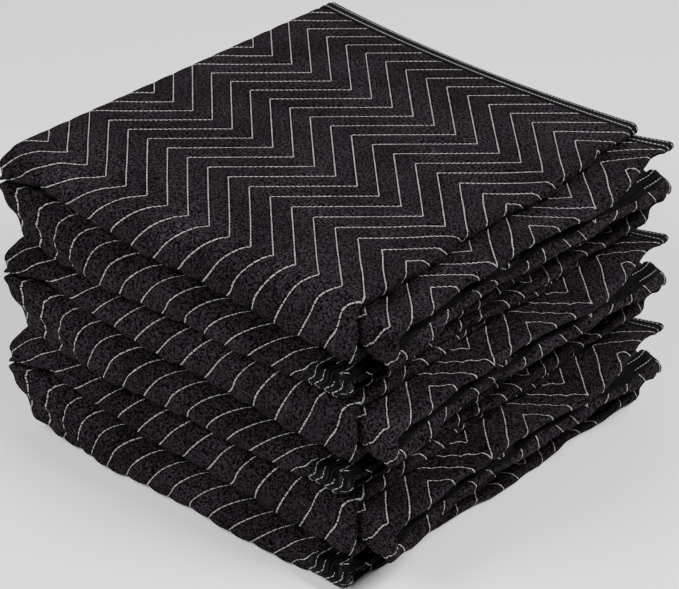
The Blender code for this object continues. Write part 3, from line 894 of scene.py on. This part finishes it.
def sewn_lines(shader, flat, along, across):
    """Distance from the nearest sewn line, and 1 where one of its stitches lies."""
    wobble = shader.maths("SUBTRACT", shader.noise(flat, scale=90.0, detail=1.0), 0.5)
    wobble = shader.maths("MULTIPLY", wobble, SEAM_WOBBLE)
    from_peak = shader.maths("SUBTRACT", along, CHEVRON_PHASE)
    arm = shader.maths("PINGPONG", from_peak, CHEVRON_RUN)
    side = shader.maths("MULTIPLY", arm, -CHEVRON_RISE / CHEVRON_RUN)
    line = shader.maths("SUBTRACT", across, FACE_START + LINE_PHASE + CHEVRON_RISE)
    line = shader.maths("DIVIDE", shader.maths("SUBTRACT", line, side), LINE_SPACING)
    near = shader.maths("MULTIPLY", shader.maths("PINGPONG", line, 0.5), LINE_SPACING)
    slant = CHEVRON_RUN / math.hypot(CHEVRON_RUN, CHEVRON_RISE)
    near = shader.maths("ADD", shader.maths("MULTIPLY", near, slant), wobble)
    step = CHEVRON_RUN / STITCHES_PER_ARM
    stitch = shader.maths("PINGPONG", from_peak, step / 2)
    is_thread = shader.maths("MULTIPLY", shader.ramp(near, *SEAM_EDGE, start=1.0, end=0.0),
                             shader.ramp(stitch, step * 0.04, step * 0.12))
    return near, is_thread


def cloth_material(name):
    """Heathered near-black cloth with pilling, flecks and drawn-in sewn lines; painted shade darkens the
    valley along each sewn line.
    """
    shader = Shader(name)
    flat, along, across, solid = shader.cloth_places()
    near, is_thread = sewn_lines(shader, flat, along, across)

    mottle = shader.ramp(shader.noise(solid, scale=370.0, detail=3.0, roughness=0.8), 0.44, 0.59)
    broad = shader.noise(solid, scale=14.0, detail=3.0)
    tone = shader.maths("MULTIPLY", mottle, shader.ramp(broad, 0.3, 0.7, start=0.55))
    colour = shader.mix(tone, CLOTH_DARK, CLOTH_LIGHT)
    flecks = shader.noise(solid, scale=620.0, detail=2.0, roughness=0.8)
    colour = shader.mix(shader.ramp(flecks, 0.60, 0.74, end=0.8), colour, CLOTH_FLECK)
    # Painted shade: the colour darkens towards CLOTH_DARK in the valley along each sewn line.
    valley_shade = shader.ramp(near, 0.0006, 0.0030, start=0.55, end=0.0)
    colour = shader.mix(valley_shade, colour, CLOTH_DARK)
    colour = shader.mix(is_thread, colour, THREAD_LIGHT)

    # Relief: the drawn-in seam, puckers off it, creases, yarns and the stitches.
    normal = shader.bump(shader.ramp(near, 0.0, 0.0035), distance=0.0012, strength=0.8)
    puckers = shader.noise(shader.stretched(flat, (1.0, 0.35, 1.0)), scale=150.0, detail=2.0)
    puckers = shader.maths("MULTIPLY", puckers, shader.ramp(near, 0.001, 0.011, start=1.0, end=0.25))
    normal = shader.bump(puckers, distance=0.0016, strength=0.7, normal=normal)
    creases = shader.noise(solid, scale=42.0, detail=4.0, roughness=0.6)
    normal = shader.bump(creases, distance=0.0030, strength=0.6, normal=normal)
    weave = shader.maths("MULTIPLY", shader.waved(along, YARN_PITCH), shader.waved(across, YARN_PITCH))
    fuzz = shader.maths("MULTIPLY", shader.noise(solid, scale=900.0, detail=2.0), 2.0)
    normal = shader.bump(shader.maths("ADD", weave, fuzz), distance=0.00022, strength=0.8, normal=normal)
    normal = shader.bump(is_thread, distance=0.0006, strength=0.8, normal=normal)
    shader.steady(Sheen_Weight=0.003, Sheen_Roughness=0.6, Specular_IOR_Level=0.02)
    return shader.finish(colour, normal, shader.ramp(mottle, 0.0, 1.0, start=0.98, end=0.82))


def tape_material(name):
    """Ribbed black tape, worn at its folded edge and creased along its length, with painted shade in the
    creases.
    """
    shader = Shader(name)
    flat, along, inset, solid = shader.cloth_places()
    ribs = shader.waved(along, RIB_PITCH)
    yarn = shader.noise(solid, scale=520.0, detail=3.0, roughness=0.7)
    tone = shader.maths("MULTIPLY", shader.ramp(ribs, -1.0, 1.0, start=0.35), shader.ramp(yarn, 0.3, 0.7))
    colour = shader.mix(tone, TAPE_DARK, TAPE_LIGHT)
    colour = shader.mix(shader.ramp(inset, 0.0, 0.0022, start=0.5, end=0.0), colour, TAPE_WORN)
    folds = shader.noise(shader.stretched(flat, (0.10, 1.0, 1.0)), scale=330.0, detail=3.0, roughness=0.6)
    # Painted shade: the colour darkens towards TAPE_DARK in the low places of the creases.
    colour = shader.mix(shader.ramp(folds, 0.42, 0.60, start=0.85, end=0.0), colour, TAPE_DARK)

    normal = shader.bump(shader.noise(flat, scale=170.0, detail=2.0), distance=0.0012, strength=0.6)
    normal = shader.bump(folds, distance=0.0030, strength=0.9, normal=normal)
    normal = shader.bump(ribs, distance=0.00018, strength=0.8, normal=normal)
    normal = shader.bump(yarn, distance=0.0003, strength=0.5, normal=normal)
    shader.steady(Sheen_Weight=0.008, Sheen_Roughness=0.5, Specular_IOR_Level=0.05)
    return shader.finish(colour, normal, shader.ramp(yarn, 0.2, 0.8, start=0.9, end=0.7))


def thread_material(name):
    """Twisted off-white thread, greyer where it is worn."""
    shader = Shader(name)
    _flat, along, around, solid = shader.cloth_places()
    turn = shader.maths("ADD", shader.maths("MULTIPLY", along, 2 * math.pi / PLY_LENGTH),
                        shader.maths("MULTIPLY", around, 2 * math.pi / PLY_GIRTH))
    twist = shader.maths("SINE", turn)
    worn = shader.noise(solid, scale=60.0, detail=3.0)
    tone = shader.maths("MULTIPLY", shader.ramp(twist, -1.0, 0.6, start=0.45),
                        shader.ramp(worn, 0.3, 0.6, start=0.6))
    colour = shader.mix(tone, THREAD_DARK, THREAD_LIGHT)
    normal = shader.bump(twist, distance=0.00012, strength=0.8)
    shader.steady(Sheen_Weight=0.1, Specular_IOR_Level=0.4)
    return shader.finish(colour, normal, shader.ramp(worn, 0.2, 0.8, start=0.6, end=0.8))


def floor_material():
    """Even pale studio paper."""
    shader = Shader("studio_floor")
    solid = shader.node("TexCoord").outputs["Object"]
    tone = shader.noise(solid, scale=3.0, detail=2.0)
    colour = shader.mix(tone, FLOOR_DARK, FLOOR_LIGHT)
    normal = shader.bump(tone, distance=0.0001, strength=0.05)
    return shader.finish(colour, normal, shader.ramp(tone, 0.0, 1.0, start=0.75, end=0.85))


# ---- The three pads ----
def build_pads():
    """Cloth, tape and thread of each pad; a covered top is coarser, with stitches at its rim alone."""
    cloth_look = cloth_material("quilted_cloth")
    tape_look = tape_material("binding_tape")
    thread_look = thread_material("white_thread")
    tape = tape_mesh()
    rows = tape_stitches()
    shown = cloth_mesh(FINE_S), thread_mesh((quilting_stitches(True), rows), THREAD_SIDES_SHOWN)
    hidden = cloth_mesh(HIDDEN_TOP_S), thread_mesh((quilting_stitches(False), rows), THREAD_SIDES_HIDDEN)
    for number, (name, spread) in enumerate(PADS):
        sheet, beads = shown if number == len(PADS) - 1 else hidden
        offset = (-MIDDLE[0] * spread, -MIDDLE[1] * spread, number * PAD_RISE - PAD_FLOOR)
        cloth = make_piece(name + "_cloth", *sheet, cloth_look, offset, spread)
        binding = make_piece(name + "_tape", *tape, tape_look, offset, spread)
        thread = make_piece(name + "_thread", *beads, thread_look, offset, spread)
        for piece in (cloth, binding, thread):
            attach(piece, "root")
        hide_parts(name + "_blanket")
        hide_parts(name + "_binding")


# ---- Room ----
FLOOR_Z = -0.0005           # just under the plane the stack rests on
FLOOR_REACH = 12.0
FLOOR_DARK = (0.86, 0.86, 0.86, 1.0)
FLOOR_LIGHT = (0.88, 0.88, 0.88, 1.0)
WORLD_WHITE = (1.0, 1.0, 1.0, 1.0)
WORLD_STRENGTH = 0.24
LIGHT_AIM = (0.0, 0.0, 0.15)
# name, place, size, power in watts
LIGHTS = (
    ("key_light", (-0.7, -2.2, 2.2), 1.3, 123.0),
    ("fill_light", (2.0, 0.5, 2.6), 1.0, 166.0),
    ("back_light", (-1.2, 2.2, 1.8), 1.6, 18.0),
)
# The camera, fitted to the photo: lens and sensor in mm, place in the fold's own frame, degrees.
LENS = 137.85
SENSOR = 36.0
CAMERA_AT = (1.8967, -1.7821, 1.6460)
AZIMUTH = 43.261
ELEVATION = 31.678


def build_floor():
    mesh = bpy.data.meshes.new("studio_floor")
    sides = ((-1, -1), (1, -1), (1, 1), (-1, 1))
    corners = [(x * FLOOR_REACH, y * FLOOR_REACH, FLOOR_Z) for x, y in sides]
    mesh.from_pydata(corners, [], [(0, 1, 2, 3)])
    mesh.materials.append(floor_material())
    floor = bpy.data.objects.new("studio_floor", mesh)
    bpy.context.scene.collection.objects.link(floor)


def build_lights():
    world = bpy.data.worlds.new("studio")
    world.use_nodes = True
    background = world.node_tree.nodes["Background"]
    background.inputs["Color"].default_value = WORLD_WHITE
    background.inputs["Strength"].default_value = WORLD_STRENGTH
    bpy.context.scene.world = world
    for name, spot, size, power in LIGHTS:
        light = bpy.data.lights.new(name, "AREA")
        light.size = size
        light.energy = power
        item = bpy.data.objects.new(name, light)
        item.location = spot
        item.rotation_mode = "QUATERNION"
        item.rotation_quaternion = (Vector(LIGHT_AIM) - Vector(spot)).to_track_quat("-Z", "Y")
        bpy.context.scene.collection.objects.link(item)


def build_camera():
    data = bpy.data.cameras.new("camera")
    data.lens = LENS
    data.sensor_width = SENSOR
    camera = bpy.data.objects.new("camera", data)
    azimuth, elevation = math.radians(AZIMUTH), math.radians(ELEVATION)
    ahead = Vector((-math.sin(azimuth) * math.cos(elevation),
                    math.cos(azimuth) * math.cos(elevation), -math.sin(elevation)))
    camera.location = Vector(CAMERA_AT) - Vector((*MIDDLE, 0.0))
    camera.rotation_mode = "QUATERNION"
    camera.rotation_quaternion = ahead.to_track_quat("-Z", "Y")
    bpy.context.scene.collection.objects.link(camera)
    bpy.context.scene.camera = camera


build_pads()
build_floor()
build_lights()
build_camera()
